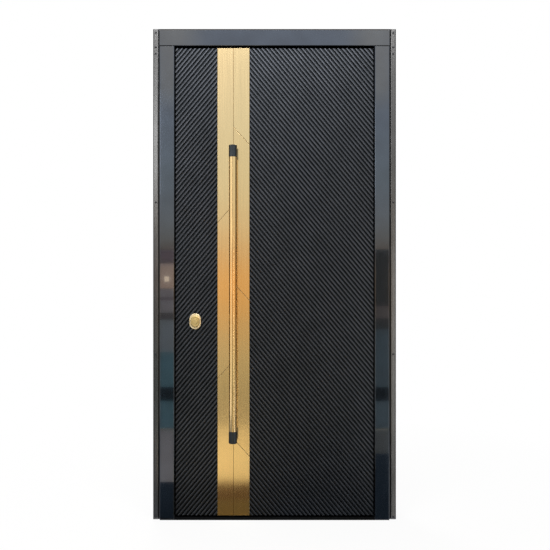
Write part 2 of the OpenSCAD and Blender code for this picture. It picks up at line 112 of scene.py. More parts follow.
def brushed_gold_sheet(name, tone):
    """Stainless steel sheet, brushed lengthwise and coated gold in vacuum: a soft mirror with faint
    upright streaks, clear enough to show the light and dark of the room in bands."""
    made, tree, shader, place = start_material(name)
    set_shader(shader, metallic=1.0)
    # Real brushing is finer than 0.1 mm, and is drawn as streaks of 2.5 mm so that it shows.
    stretched = put(tree, "ShaderNodeMapping", {"Vector": place, "Scale": (1, 1, 0.012)})
    streaks = put(tree, "ShaderNodeTexNoise",
                  {"Vector": stretched.outputs["Vector"], "Scale": repeats(2.5), "Detail": 4.0,
                   "Roughness": 0.65})
    # Rolled sheet lies a little uneven over a hand's width, which bends what it mirrors.
    unevenness = put(tree, "ShaderNodeTexNoise", {"Vector": place, "Scale": repeats(120), "Detail": 1.0})
    colour = put(tree, "ShaderNodeValToRGB", {"Fac": streaks.outputs["Fac"]})
    colour.color_ramp.elements[0].position = 0.3
    colour.color_ramp.elements[0].color = [c * 0.93 for c in linear(tone)[:3]] + [1]
    colour.color_ramp.elements[1].position = 0.7
    colour.color_ramp.elements[1].color = [min(1, c * 1.05) for c in linear(tone)[:3]] + [1]
    rough = put(tree, "ShaderNodeMapRange",
                {"Value": streaks.outputs["Fac"], "To Min": 0.11, "To Max": 0.2})
    waves = put(tree, "ShaderNodeBump",
                {"Height": unevenness.outputs["Fac"], "Strength": 0.12, "Distance": 2 * MM})
    grain = put(tree, "ShaderNodeBump",
                {"Height": streaks.outputs["Fac"], "Normal": waves.outputs["Normal"],
                 "Strength": 0.08, "Distance": 0.1 * MM})
    tree.links.new(colour.outputs["Color"], shader.inputs["Base Color"])
    tree.links.new(rough.outputs["Result"], shader.inputs["Roughness"])
    tree.links.new(grain.outputs["Normal"], shader.inputs["Normal"])
    return made


def polished_gold_tube():
    """Stainless steel tube, polished and coated gold in vacuum: a bright mirror with a few fine
    rings left by the polishing wheel."""
    made, tree, shader, place = start_material("polished_gold_tube")
    set_shader(shader, metallic=1.0)
    # The wheel leaves rings of about 0.5 mm, drawn at 4 mm so that they show.
    flattened = put(tree, "ShaderNodeMapping", {"Vector": place, "Scale": (0.1, 0.1, 1)})
    rings = put(tree, "ShaderNodeTexNoise",
                {"Vector": flattened.outputs["Vector"], "Scale": repeats(4), "Detail": 3.0})
    colour = put(tree, "ShaderNodeValToRGB", {"Fac": rings.outputs["Fac"]})
    colour.color_ramp.elements[0].color = linear("#E6C48C")
    colour.color_ramp.elements[1].color = linear("#EBCA93")
    rough = put(tree, "ShaderNodeMapRange",
                {"Value": rings.outputs["Fac"], "To Min": 0.1, "To Max": 0.16})
    tree.links.new(colour.outputs["Color"], shader.inputs["Base Color"])
    tree.links.new(rough.outputs["Result"], shader.inputs["Roughness"])
    return made


def plated_gold_casting():
    """Zinc alloy, die-cast, polished and plated satin gold: softer than the sheet, with the slight
    waviness of a polished casting."""
    made, tree, shader, place = start_material("plated_gold_casting")
    set_shader(shader, metallic=1.0)
    # Polished castings stay wavy over a few millimetres.
    dimples = put(tree, "ShaderNodeTexNoise", {"Vector": place, "Scale": repeats(6), "Detail": 2.0})
    colour = put(tree, "ShaderNodeValToRGB", {"Fac": dimples.outputs["Fac"]})
    colour.color_ramp.elements[0].color = linear("#D3BC80")
    colour.color_ramp.elements[1].color = linear("#E0CA90")
    rough = put(tree, "ShaderNodeMapRange",
                {"Value": dimples.outputs["Fac"], "To Min": 0.34, "To Max": 0.42})
    bump = put(tree, "ShaderNodeBump",
               {"Height": dimples.outputs["Fac"], "Strength": 0.1, "Distance": 0.3 * MM})
    tree.links.new(colour.outputs["Color"], shader.inputs["Base Color"])
    tree.links.new(rough.outputs["Result"], shader.inputs["Roughness"])
    tree.links.new(bump.outputs["Normal"], shader.inputs["Normal"])
    return made


def champagne_bead_blast():
    """Brass, forged, blasted with fine beads and plated champagne gold: pale and frosted, it spreads
    the light evenly and shows its shape more than the room."""
    made, tree, shader, place = start_material("champagne_bead_blast")
    set_shader(shader, metallic=0.95)
    # Bead marks are about 0.2 mm wide, and are drawn at 1.5 mm so that they show.
    beads = put(tree, "ShaderNodeTexNoise", {"Vector": place, "Scale": repeats(1.5), "Detail": 3.0})
    colour = put(tree, "ShaderNodeValToRGB", {"Fac": beads.outputs["Fac"]})
    colour.color_ramp.elements[0].color = linear("#F0DCB0")
    colour.color_ramp.elements[1].color = linear("#FBEBC6")
    rough = put(tree, "ShaderNodeMapRange",
                {"Value": beads.outputs["Fac"], "To Min": 0.38, "To Max": 0.5})
    bump = put(tree, "ShaderNodeBump",
               {"Height": beads.outputs["Fac"], "Strength": 0.15, "Distance": 0.1 * MM})
    tree.links.new(colour.outputs["Color"], shader.inputs["Base Color"])
    tree.links.new(rough.outputs["Result"], shader.inputs["Roughness"])
    tree.links.new(bump.outputs["Normal"], shader.inputs["Normal"])
    return made


def black_anodised_aluminium():
    """Aluminium, turned and anodised black: nearly black with fine tool rings round the axis."""
    made, tree, shader, place = start_material("black_anodised_aluminium")
    set_shader(shader, metallic=0.85, coat_weight=0.25, coat_roughness=0.15)
    # Tool marks run round the part every 0.3 mm, and are drawn every 2 mm so that they show.
    flattened = put(tree, "ShaderNodeMapping", {"Vector": place, "Scale": (0.05, 0.05, 1)})
    rings = put(tree, "ShaderNodeTexNoise",
                {"Vector": flattened.outputs["Vector"], "Scale": repeats(2), "Detail": 2.0})
    colour = put(tree, "ShaderNodeValToRGB", {"Fac": rings.outputs["Fac"]})
    colour.color_ramp.elements[0].color = linear("#2A2F33")
    colour.color_ramp.elements[1].color = linear("#3E454B")
    rough = put(tree, "ShaderNodeMapRange",
                {"Value": rings.outputs["Fac"], "To Min": 0.24, "To Max": 0.36})
    tree.links.new(colour.outputs["Color"], shader.inputs["Base Color"])
    tree.links.new(rough.outputs["Result"], shader.inputs["Roughness"])
    return made


def bronze_sheet():
    """Aluminium sheet, anodised dark bronze: it shows as a brown line in the joints of the gold."""
    made, tree, shader, place = start_material("bronze_sheet")
    set_shader(shader, metallic=0.8)
    clouds = put(tree, "ShaderNodeTexNoise", {"Vector": place, "Scale": repeats(40), "Detail": 2.0})
    colour = put(tree, "ShaderNodeValToRGB", {"Fac": clouds.outputs["Fac"]})
    colour.color_ramp.elements[0].color = linear("#6E5432")
    colour.color_ramp.elements[1].color = linear("#7C6039")
    rough = put(tree, "ShaderNodeMapRange",
                {"Value": clouds.outputs["Fac"], "To Min": 0.4, "To Max": 0.5})
    tree.links.new(colour.outputs["Color"], shader.inputs["Base Color"])
    tree.links.new(rough.outputs["Result"], shader.inputs["Roughness"])
    return made


def gloss_anthracite_lacquer():
    """Fibreboard sprayed with an anthracite metallic lacquer under a polished clear coat: a dark
    mirror that shows the room's light and dark, with the faint orange peel of spraying."""
    made, tree, shader, place = start_material("gloss_anthracite_lacquer")
    set_shader(shader, metallic=0.97, coat_weight=1.0, coat_roughness=0.02)
    # Sprayed metallic lacquer lies a little thicker here and thinner there, over a hand's width.
    clouds = put(tree, "ShaderNodeTexNoise", {"Vector": place, "Scale": repeats(90), "Detail": 2.0})
    colour = put(tree, "ShaderNodeValToRGB", {"Fac": clouds.outputs["Fac"]})
    colour.color_ramp.elements[0].position = 0.3
    colour.color_ramp.elements[0].color = linear("#464D58")
    colour.color_ramp.elements[1].position = 0.7
    colour.color_ramp.elements[1].color = linear("#4D5561")
    # Aluminium flakes are about 0.05 mm, and are drawn at 1.5 mm so that they show.
    flakes = put(tree, "ShaderNodeTexVoronoi", {"Vector": place, "Scale": repeats(1.5)})
    lightness = put(tree, "ShaderNodeSeparateColor", {"Color": flakes.outputs["Color"]})
    rough = put(tree, "ShaderNodeMapRange",
                {"Value": lightness.outputs["Green"], "To Min": 0.06, "To Max": 0.1})
    # Orange peel has a wave of about 6 mm.
    peel = put(tree, "ShaderNodeTexNoise", {"Vector": place, "Scale": repeats(6), "Detail": 1.0})
    bump = put(tree, "ShaderNodeBump",
               {"Height": peel.outputs["Fac"], "Strength": 0.03, "Distance": 0.1 * MM})
    tree.links.new(colour.outputs["Color"], shader.inputs["Base Color"])
    tree.links.new(rough.outputs["Result"], shader.inputs["Roughness"])
    tree.links.new(bump.outputs["Normal"], shader.inputs["Normal"])
    tree.links.new(bump.outputs["Normal"], shader.inputs["Coat Normal"])
    return made


def satin_anthracite_lacquer_groove_shade():
    """Fibreboard, routed into ribs and sprayed with a satin anthracite metallic lacquer: the flat tops
    catch a soft grey light, and the grooves between them are painted darker with depth as shade."""
    made, tree, shader, place = start_material("satin_anthracite_lacquer_groove_shade")
    set_shader(shader, metallic=0.95)
    clouds = put(tree, "ShaderNodeTexNoise", {"Vector": place, "Scale": repeats(90), "Detail": 2.0})
    top = put(tree, "ShaderNodeValToRGB", {"Fac": clouds.outputs["Fac"]})
    top.color_ramp.elements[0].position = 0.3
    top.color_ramp.elements[0].color = linear("#3F4247")
    top.color_ramp.elements[1].position = 0.7
    top.color_ramp.elements[1].color = linear("#474A50")
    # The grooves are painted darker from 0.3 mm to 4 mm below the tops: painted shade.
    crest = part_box("left_ribbed_panel")[0].y
    where = put(tree, "ShaderNodeSeparateXYZ", {"Vector": place})
    depth = put(tree, "ShaderNodeMapRange",
                {"Value": where.outputs["Y"], "From Min": crest + 0.3 * MM, "From Max": crest + 4 * MM})
    colour = put(tree, "ShaderNodeMix",
                 {0: depth.outputs["Result"], 6: top.outputs["Color"], 7: linear("#262A2E")},
                 data_type="RGBA")
    flakes = put(tree, "ShaderNodeTexVoronoi", {"Vector": place, "Scale": repeats(1.5)})
    lightness = put(tree, "ShaderNodeSeparateColor", {"Color": flakes.outputs["Color"]})
    rough = put(tree, "ShaderNodeMapRange",
                {"Value": lightness.outputs["Green"], "To Min": 0.38, "To Max": 0.44})
    tree.links.new(colour.outputs[2], shader.inputs["Base Color"])
    tree.links.new(rough.outputs["Result"], shader.inputs["Roughness"])
    return made


def two_tone_powder_coat_edge_shade():
    """Folded steel sheet with a black powder coat, and a grey metallic one over the front of the wall
    strip: a soft sheen on the strip, faintly pebbled, between black folds; the black along the
    strip's outer edge is painted shade."""
    made, tree, shader, place = start_material("two_tone_powder_coat_edge_shade")
    set_shader(shader, specular_ior_level=0.12)
    # Powder coat melts into pebbles about 1 mm wide, drawn at 2 mm so that they show.
    pebbles = put(tree, "ShaderNodeTexNoise", {"Vector": place, "Scale": repeats(2), "Detail": 2.0})
    # The coat's tone drifts slowly along the profile.
    drift = put(tree, "ShaderNodeTexNoise", {"Vector": place, "Scale": repeats(160), "Detail": 2.0})
    grey = put(tree, "ShaderNodeValToRGB", {"Fac": drift.outputs["Fac"]})
    grey.color_ramp.elements[0].position = 0.3
    grey.color_ramp.elements[0].color = linear("#616161")
    grey.color_ramp.elements[1].position = 0.7
    grey.color_ramp.elements[1].color = linear("#6B6B6C")
    # The grey coat stops at the strip's inner fold, and well short of its outer one: the black band along
    # the outer fold is painted shade.
    low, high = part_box("right_jamb")
    fold = 1.2 * MM
    painted_shade_edge = 4.5 * MM
    inner = high.x - STRIP_WIDTH + fold
    outer = high.x - painted_shade_edge
    where = put(tree, "ShaderNodeSeparateXYZ", {"Vector": place})
    aside = put(tree, "ShaderNodeMath", {0: where.outputs["X"]}, operation="ABSOLUTE")
    within = put(tree, "ShaderNodeMath",
                 {0: aside.outputs["Value"], 1: (inner + outer) / 2, 2: (outer - inner) / 2},
                 operation="COMPARE")
    front = put(tree, "ShaderNodeMath", {0: where.outputs["Y"], 1: low.y + fold}, operation="LESS_THAN")
    strip = put(tree, "ShaderNodeMath", {0: within.outputs["Value"], 1: front.outputs["Value"]},
                operation="MULTIPLY")
    colour = put(tree, "ShaderNodeMix",
                 {0: strip.outputs["Value"], 6: linear("#08090A"), 7: grey.outputs["Color"]},
                 data_type="RGBA")
    metal = put(tree, "ShaderNodeMath", {0: strip.outputs["Value"], 1: 0.92}, operation="MULTIPLY")
    rough = put(tree, "ShaderNodeMapRange",
                {"Value": pebbles.outputs["Fac"], "To Min": 0.22, "To Max": 0.28})
    bump = put(tree, "ShaderNodeBump",
               {"Height": pebbles.outputs["Fac"], "Strength": 0.05, "Distance": 0.1 * MM})
    tree.links.new(colour.outputs[2], shader.inputs["Base Color"])
    tree.links.new(metal.outputs["Value"], shader.inputs["Metallic"])
    tree.links.new(rough.outputs["Result"], shader.inputs["Roughness"])
    tree.links.new(bump.outputs["Normal"], shader.inputs["Normal"])
    return made


def black_powder_coat():
    """Folded steel sheet with a black powder coat: matt to satin and finely pebbled."""
    made, tree, shader, place = start_material("black_powder_coat")
    set_shader(shader, specular_ior_level=0.05)
    pebbles = put(tree, "ShaderNodeTexNoise", {"Vector": place, "Scale": repeats(2), "Detail": 2.0})
    colour = put(tree, "ShaderNodeValToRGB", {"Fac": pebbles.outputs["Fac"]})
    colour.color_ramp.elements[0].color = linear("#060708")
    colour.color_ramp.elements[1].color = linear("#0D0E10")
    rough = put(tree, "ShaderNodeMapRange",
                {"Value": pebbles.outputs["Fac"], "To Min": 0.5, "To Max": 0.62})
    bump = put(tree, "ShaderNodeBump",
               {"Height": pebbles.outputs["Fac"], "Strength": 0.2, "Distance": 0.1 * MM})
    tree.links.new(colour.outputs["Color"], shader.inputs["Base Color"])
    tree.links.new(rough.outputs["Result"], shader.inputs["Roughness"])
    tree.links.new(bump.outputs["Normal"], shader.inputs["Normal"])
    return made


def seal_rubber():
    """EPDM rubber, extruded: black, dull, with fine lines along its length."""
    made, tree, shader, place = start_material("seal_rubber")
    set_shader(shader, specular_ior_level=0.35)
    # Dust and talc lie on new rubber in soft patches of a few centimetres.
    talc = put(tree, "ShaderNodeTexNoise", {"Vector": place, "Scale": repeats(30), "Detail": 5.0})
    colour = put(tree, "ShaderNodeValToRGB", {"Fac": talc.outputs["Fac"]})
    colour.color_ramp.elements[0].position = 0.45
    colour.color_ramp.elements[0].color = linear("#101011")
    colour.color_ramp.elements[1].position = 0.8
    colour.color_ramp.elements[1].color = linear("#232425")
    rough = put(tree, "ShaderNodeMapRange", {"Value": talc.outputs["Fac"], "To Min": 0.6, "To Max": 0.8})
    tree.links.new(colour.outputs["Color"], shader.inputs["Base Color"])
    tree.links.new(rough.outputs["Result"], shader.inputs["Roughness"])
    return made


def satin_nickel():
    """Steel, stamped or turned and nickel-plated satin: warm grey, softly bright, faintly cloudy."""
    made, tree, shader, place = start_material("satin_nickel")
    set_shader(shader, metallic=1.0)
    cloud = put(tree, "ShaderNodeTexNoise", {"Vector": place, "Scale": repeats(12), "Detail": 4.0})
    colour = put(tree, "ShaderNodeValToRGB", {"Fac": cloud.outputs["Fac"]})
    colour.color_ramp.elements[0].color = linear("#A7A49D")
    colour.color_ramp.elements[1].color = linear("#C4C1BA")
    rough = put(tree, "ShaderNodeMapRange",
                {"Value": cloud.outputs["Fac"], "To Min": 0.24, "To Max": 0.36})
    tree.links.new(colour.outputs["Color"], shader.inputs["Base Color"])
    tree.links.new(rough.outputs["Result"], shader.inputs["Roughness"])
    return made


def white_lacquer():
    """Fibreboard sprayed with a satin white lacquer: warm white with a faint orange peel."""
    made, tree, shader, place = start_material("white_lacquer")
    set_shader(shader, coat_weight=0.15, coat_roughness=0.2)
    peel = put(tree, "ShaderNodeTexNoise", {"Vector": place, "Scale": repeats(5), "Detail": 2.0})
    # The lacquer's tone drifts by a hair over half a metre.
    drift = put(tree, "ShaderNodeTexNoise", {"Vector": place, "Scale": repeats(500), "Detail": 2.0})
    colour = put(tree, "ShaderNodeValToRGB", {"Fac": drift.outputs["Fac"]})
    colour.color_ramp.elements[0].color = linear("#D5D2CB")
    colour.color_ramp.elements[1].color = linear("#E0DDD7")
    rough = put(tree, "ShaderNodeMapRange", {"Value": peel.outputs["Fac"], "To Min": 0.36, "To Max": 0.46})
    bump = put(tree, "ShaderNodeBump",
               {"Height": peel.outputs["Fac"], "Strength": 0.15, "Distance": 0.1 * MM})
    tree.links.new(colour.outputs["Color"], shader.inputs["Base Color"])
    tree.links.new(rough.outputs["Result"], shader.inputs["Roughness"])
    tree.links.new(bump.outputs["Normal"], shader.inputs["Normal"])
    return made


def black_oxide_screw():
    """Steel screws with a black oxide finish: dark, oily sheen."""
    made, tree, shader, place = start_material("black_oxide_screw")
    set_shader(shader, metallic=0.7)
    wear = put(tree, "ShaderNodeTexNoise", {"Vector": place, "Scale": repeats(3), "Detail": 3.0})
    colour = put(tree, "ShaderNodeValToRGB", {"Fac": wear.outputs["Fac"]})
    colour.color_ramp.elements[0].color = linear("#1B1C1F")
    colour.color_ramp.elements[1].color = linear("#3A3B40")
    rough = put(tree, "ShaderNodeMapRange", {"Value": wear.outputs["Fac"], "To Min": 0.28, "To Max": 0.45})
    tree.links.new(colour.outputs["Color"], shader.inputs["Base Color"])
    tree.links.new(rough.outputs["Result"], shader.inputs["Roughness"])
    return made


# ---- Softened edges ----

def clean_edges_group():
    """Joins the corners that the drawing left apart, so that edges can be rounded and shaded."""
    tree = bpy.data.node_groups.new("clean_edges", "GeometryNodeTree")
    tree.interface.new_socket("Geometry", in_out="INPUT", socket_type="NodeSocketGeometry")
    tree.interface.new_socket("Geometry", in_out="OUTPUT", socket_type="NodeSocketGeometry")
    arriving = put(tree, "NodeGroupInput").outputs[0]
    joined = put(tree, "GeometryNodeMergeByDistance", {"Geometry": arriving, "Distance": 0.01 * MM})
    plain = put(tree, "GeometryNodeSetMeshNormal", {0: joined.outputs[0]}, mode="SHARPNESS")
    for socket in plain.inputs:
        if socket.name == "Remove Custom":
            socket.default_value = True
        elif "Sharpness" in socket.name:
            socket.default_value = False
    edges = put(tree, "GeometryNodeSetShadeSmooth", {0: plain.outputs[0]}, domain="EDGE")
    faces = put(tree, "GeometryNodeSetShadeSmooth", {0: edges.outputs[0]}, domain="FACE")
    leaving = put(tree, "NodeGroupOutput")
    tree.links.new(faces.outputs[0], leaving.inputs[0])
    return tree


clean_edges = clean_edges_group()


def soften(piece, width_mm, steps=2, sharper_than=28):
    """Rounds a piece's sharp edges, because a real edge is never sharp and catches a line of light."""
    if piece.name in frame["nodes"]:
        piece.modifiers.new("clean_edges", "NODES").node_group = clean_edges
    rounding = piece.modifiers.new("rounded_edges", "BEVEL")
    rounding.limit_method = "ANGLE"
    rounding.angle_limit = math.radians(sharper_than)
    rounding.width = width_mm * MM
    rounding.segments = steps
    rounding.use_clamp_overlap = True
    rounding.harden_normals = False
    shading = piece.modifiers.new("even_shading", "WEIGHTED_NORMAL")
    shading.weight = 100
    shading.keep_sharp = True


def dress(material, width_mm, *names):
    """Gives CAD nodes their finish and softened edges."""
    for name in names:
        node = frame["nodes"][name]
        node.data.materials.clear()
        node.data.materials.append(material)
        soften(node, width_mm)


# ---- Meshes ----

def new_piece(name, mesh, material, body):
    """Puts a mesh into the scene as a piece of the door."""
    data = bpy.data.meshes.new(name)
    mesh.to_mesh(data)
    mesh.free()
    for face in data.polygons:
        face.use_smooth = True
    data.materials.append(material)
    piece = bpy.data.objects.new(name, data)
    bpy.context.scene.collection.objects.link(piece)
    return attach(piece, body)


def facing(direction, at):
    """A matrix that turns a part's own +Z to a direction and moves it to a place."""
    return Matrix.Translation(at) @ direction.to_track_quat("Z", "Y").to_matrix().to_4x4()


def turned(mesh, profile, matrix, steps=32, cross_from=None):
    """Adds a turned part: profile is (radius, height) in mm, from its foot up to its middle. From
    ring cross_from on, the rings are pinched into a cross, which makes a driver's recess."""
    rings = []
    for i, (radius, height) in enumerate(profile):
        crossed = cross_from is not None and i >= cross_from
        ring = []
        for k in range(steps):
            angle = math.tau * k / steps
            pinch = 0.4 + 0.6 * abs(math.cos(2 * angle)) ** 3 if crossed else 1.0
            spot = Vector((math.cos(angle), math.sin(angle), 0)) * radius * pinch + UP * height
            ring.append(mesh.verts.new(matrix @ (spot * MM)))
        rings.append(ring)
    for low, high in zip(rings, rings[1:]):
        for k in range(steps):
            n = (k + 1) % steps
            mesh.faces.new((low[k], low[n], high[n], high[k]))
    mesh.faces.new(reversed(rings[0]))
    mesh.faces.new(rings[-1])


def pan_head(d):
    """Profile of a pan-head screw of diameter d in mm, with its recess."""
    r = d / 2
    return [(r * 0.9, 0), (r, 0.12 * d), (r * 0.94, 0.22 * d), (r * 0.76, 0.3 * d), (r * 0.62, 0.33 * d),
            (r * 0.58, 0.32 * d), (r * 0.3, 0.12 * d)]


def flat_head(d):
    """Profile of a countersunk screw of diameter d in mm that stands 0.3 mm proud."""
    r = d / 2
    return [(r, -0.3), (r, 0.15), (r * 0.95, 0.3), (r * 0.62, 0.3), (r * 0.58, 0.2), (r * 0.3, -0.25)]


def screws(name, places, direction, profile, material, body):
    """One piece that holds a set of like screws, their heads towards a direction."""
    mesh = bmesh.new()
    for i, at in enumerate(places):
        # Each screw stops where it is tight, so the recesses stand at different angles.
        turn = Matrix.Rotation(math.radians(37 * i), 4, "Z")
        turned(mesh, profile, facing(direction, at) @ turn, cross_from=len(profile) - 2)
    return new_piece(name, mesh, material, body)


def extruded(mesh, outline, matrix, length):
    """Adds a bar: outline is its section in mm, anticlockwise, and it runs along the matrix's Z."""
    ends = [[mesh.verts.new(matrix @ Vector((x * MM, y * MM, z))) for x, y in outline] for z in (0, length)]
    for k in range(len(outline)):
        n = (k + 1) % len(outline)
        mesh.faces.new((ends[0][k], ends[0][n], ends[1][n], ends[1][k]))
    mesh.faces.new(reversed(ends[0]))
    mesh.faces.new(ends[1])


def rectangle(left, right, low, high):
    """Section of a square-edged bar in mm."""
    return [(left, low), (right, low), (right, high), (left, high)]


def rounded_section(width, depth):
    """Section of a flat strip in mm, its front towards -Y bowed, its back on y = 0."""
    bow = [(-width / 2 * math.cos(a), -depth * (0.55 + 0.45 * math.sin(a)))
           for a in (math.pi * k / 8 for k in range(9))]
    return [(-width / 2, 0)] + bow + [(width / 2, 0)]


def lying_across(x, z):
    """A matrix that lays a bar along X from a place: its section's x and y run along Y and Z."""
    return Matrix(((0, 0, 1, x), (1, 0, 0, 0), (0, 1, 0, z), (0, 0, 0, 1)))


# ---- The camera ----

EYE_DISTANCE = 3.22
EYE_HEIGHT = 1.073
LENS = 47.84  # mm, on a sensor 36 mm wide

camera = bpy.data.objects.new("camera", bpy.data.cameras.new("camera"))
bpy.context.scene.collection.objects.link(camera)
camera.location = (0.002, -EYE_DISTANCE, EYE_HEIGHT)
camera.rotation_euler = (math.radians(90), 0, 0)
camera.data.sensor_width = 36
camera.data.lens = LENS
bpy.context.scene.camera = camera

# ---- Finishes on the frame and the leaf ----

gloss_lacquer = gloss_anthracite_lacquer()
rib_lacquer = satin_anthracite_lacquer_groove_shade()
jamb_steel = two_tone_powder_coat_edge_shade()
black_steel = black_powder_coat()
rubber = seal_rubber()
nickel = satin_nickel()
inside_white = white_lacquer()
bar_gold = polished_gold_tube()
cast_gold = plated_gold_casting()
guard_gold = champagne_bead_blast()
cap_black = black_anodised_aluminium()
backing_bronze = bronze_sheet()
screw_black = black_oxide_screw()

dress(jamb_steel, 0.4, "left_jamb", "right_jamb")
dress(black_steel, 0.4, "head_jamb", "threshold", "leaf_body")
dress(gloss_lacquer, 0.8, "left_architrave", "right_architrave", "head_architrave")
dress(inside_white, 0.8, "left_inner_trim", "right_inner_trim", "head_inner_trim", "inside_panel")
dress(rubber, 0.4, "left_seal", "right_seal", "head_seal", "bottom_seal")
dress(nickel, 0.4, "strike_plate", "lock_faceplate", "lock_bolts")
for level in HINGE_LEVELS:
    dress(nickel, 0.4, level + "_hinge_pin", level + "_hinge_barrel")
dress(rib_lacquer, 0.5, "left_ribbed_panel", "right_ribbed_panel")
dress(cap_black, 0.6, "upper_bar_cap", "lower_bar_cap")
dress(backing_bronze, 0.4, "gold_backing")
dress(bar_gold, 0.6, "pull_bar")
dress(guard_gold, 1.2, "cylinder_guard")
dress(cast_gold, 2.6, "cylinder_boss")
dress(cast_gold, 0.6, "cylinder_cover", "handle_backplate", "inside_lever", "thumb_turn")

# Every plate comes from its own stretch of sheet, so its gold is a shade off its neighbours'.
PLATE_TONES = {
    "gold_plate_left_1": "#E7CD9B", "gold_plate_left_2": "#E9CE9C", "gold_plate_left_3": "#E6CB98",
    "gold_plate_right_1": "#E5CC9A", "gold_plate_right_2": "#E4C996", "gold_plate_right_3": "#E2C794",
    "gold_plate_right_4": "#E5CB98",
}
for plate, tone in PLATE_TONES.items():
    dress(brushed_gold_sheet("brushed_" + plate, tone), 0.4, plate)

# ---- Screws and small fittings ----


def fixing_places():
    """Middles of the fixing holes in the wall strips, from the frame's bolt patterns."""
    places = []
    for mount in frame["record"]["mounts"]:
        if mount["kind"] == "bolt_pattern":
            half_x = mount["dims"]["spacing_x_mm"] * MM / 2
            half_z = mount["dims"]["spacing_y_mm"] * MM / 2
            for side in (-1, 1):
                for end in (-1, 1):
                    places.append(Vector(mount["pos_m"]) + Vector((side * half_x, 0, end * half_z)))
    return places


screws("frame_screws", fixing_places(), OUTWARDS, pan_head(8.4), screw_black, "frame")


def plate_ends(name, inset_mm):
    """Two screw places on a plate's long middle line, so many mm from its ends."""
    low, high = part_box(name)
    spot = (low + high) / 2
    return [Vector((spot.x, spot.y, z)) for z in (low.z + inset_mm * MM, high.z - inset_mm * MM)]


strike_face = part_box("strike_plate")[1].x
screws("strike_screws", [Vector((strike_face, p.y, p.z)) for p in plate_ends("strike_plate", 9)],
       TO_HINGES, flat_head(8), nickel, "frame")
lock_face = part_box("lock_faceplate")[0].x
screws("faceplate_screws", [Vector((lock_face, p.y, p.z)) for p in plate_ends("lock_faceplate", 10)],
       TO_LOCK, flat_head(8), nickel, "leaf")


def wing_screws(kind, body, far_side):
    """Three screws in each wing of the hinges, the middle one nearer to the wing's end: far_side is
    1 where the wings reach towards +X and -1 where they reach towards -X."""
    places = []
    for level in HINGE_LEVELS:
        low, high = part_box(level + kind)
        height = min(high.z - low.z, WING_HEIGHT)
        face = low.y + WING_THICKNESS
        tip = high.x if far_side > 0 else low.x
        for share, from_tip in ((0.2, 15 * MM), (0.5, 9 * MM), (0.8, 15 * MM)):
            places.append(Vector((tip - far_side * from_tip, face, low.z + height * share)))
    return screws("screws" + kind + "s", places, INWARDS, flat_head(7), nickel, body)


wing_screws("_hinge_pin", "frame", 1)
wing_screws("_hinge_barrel", "leaf", -1)

plate_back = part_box("handle_backplate")[1].y
screws("handle_plate_screws", [Vector((p.x, plate_back, p.z)) for p in plate_ends("handle_backplate", 20)],
       INWARDS, flat_head(7.5), cast_gold, "leaf")

# ---- Gaskets and feet of the frame, dark strips that paint the shade in its gaps, and its sill strip ----


def groove_shade_gasket(side, name):
    """The black rubber strip that fills the groove between a wall strip and its architrave: a dark piece
    put in as painted shade of the deep groove.
    """
    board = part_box("right_architrave")[1].x
    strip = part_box("right_jamb")[1].x - STRIP_WIDTH
    foot = 2 * CLEAR
    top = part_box("head_jamb")[1].z - SHEET - CLEAR
    section = rounded_section((strip - board - 2 * CLEAR) / MM, 5.5)
    mesh = bmesh.new()
    place = Matrix.Translation((side * (board + strip) / 2, -SHEET - CLEAR / 2, foot))
    extruded(mesh, section, place, top - foot)
    return new_piece(name, mesh, rubber, "frame")


groove_shade_gasket(-1, "left_groove_gasket")
groove_shade_gasket(1, "right_groove_gasket")


def head_shade_gasket():
    """The black strip between the head architrave and the lip above it: a dark piece put in as painted
    shade of that gap.
    """
    low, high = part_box("head_architrave")
    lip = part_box("head_jamb")[1].z - SHEET
    front = -9
    back = -(SHEET + CLEAR) / MM
    section = rectangle(front, back, CLEAR / MM, (lip - high.z - CLEAR) / MM)
    mesh = bmesh.new()
    extruded(mesh, section, lying_across(low.x, high.z), high.x - low.x)
    return new_piece("head_shade_gasket", mesh, rubber, "frame")


head_shade_gasket()


def board_foot_shade(side, name):
    """The black rubber strip that closes the gap between an architrave and the floor: a dark piece put in
    as painted shade of that gap.
    """
    low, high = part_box(side + "_architrave")
    inset_x, inset_y = 0.5, 1
    section = rectangle(low.x / MM + inset_x, high.x / MM - inset_x,
                        low.y / MM + inset_y, high.y / MM - inset_y)
    mesh = bmesh.new()
    extruded(mesh, section, Matrix.Translation((0, 0, CLEAR)), low.z - CLEAR)
    return new_piece(name, mesh, rubber, "frame")


board_foot_shade("left", "left_board_foot")
board_foot_shade("right", "right_board_foot")


def sill_strip():
    """The black strip along the foot of the threshold, between the two architraves."""
    inner, face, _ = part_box("right_architrave")[0]
    front = face / MM + 1
    back = (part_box("threshold")[0].y - CLEAR) / MM
    foot, top, bevel = CLEAR / MM, 11, 2
    section = [(front, foot), (back, foot), (back, top), (front + bevel, top), (front, top - bevel)]
    mesh = bmesh.new()
    extruded(mesh, section, lying_across(-inner, 0), 2 * inner)
    return new_piece("sill_strip", mesh, black_steel, "frame")


sill_strip()

# ---- Floor and light ----


def mirrored_light(tree, path):
    """1 for the light that the door's metal and gloss mirror, and 0 for any other."""
    both = {0: path.outputs["Is Glossy Ray"], 1: path.outputs["Is Transmission Ray"]}
    return put(tree, "ShaderNodeMath", both, operation="MAXIMUM").outputs["Value"]


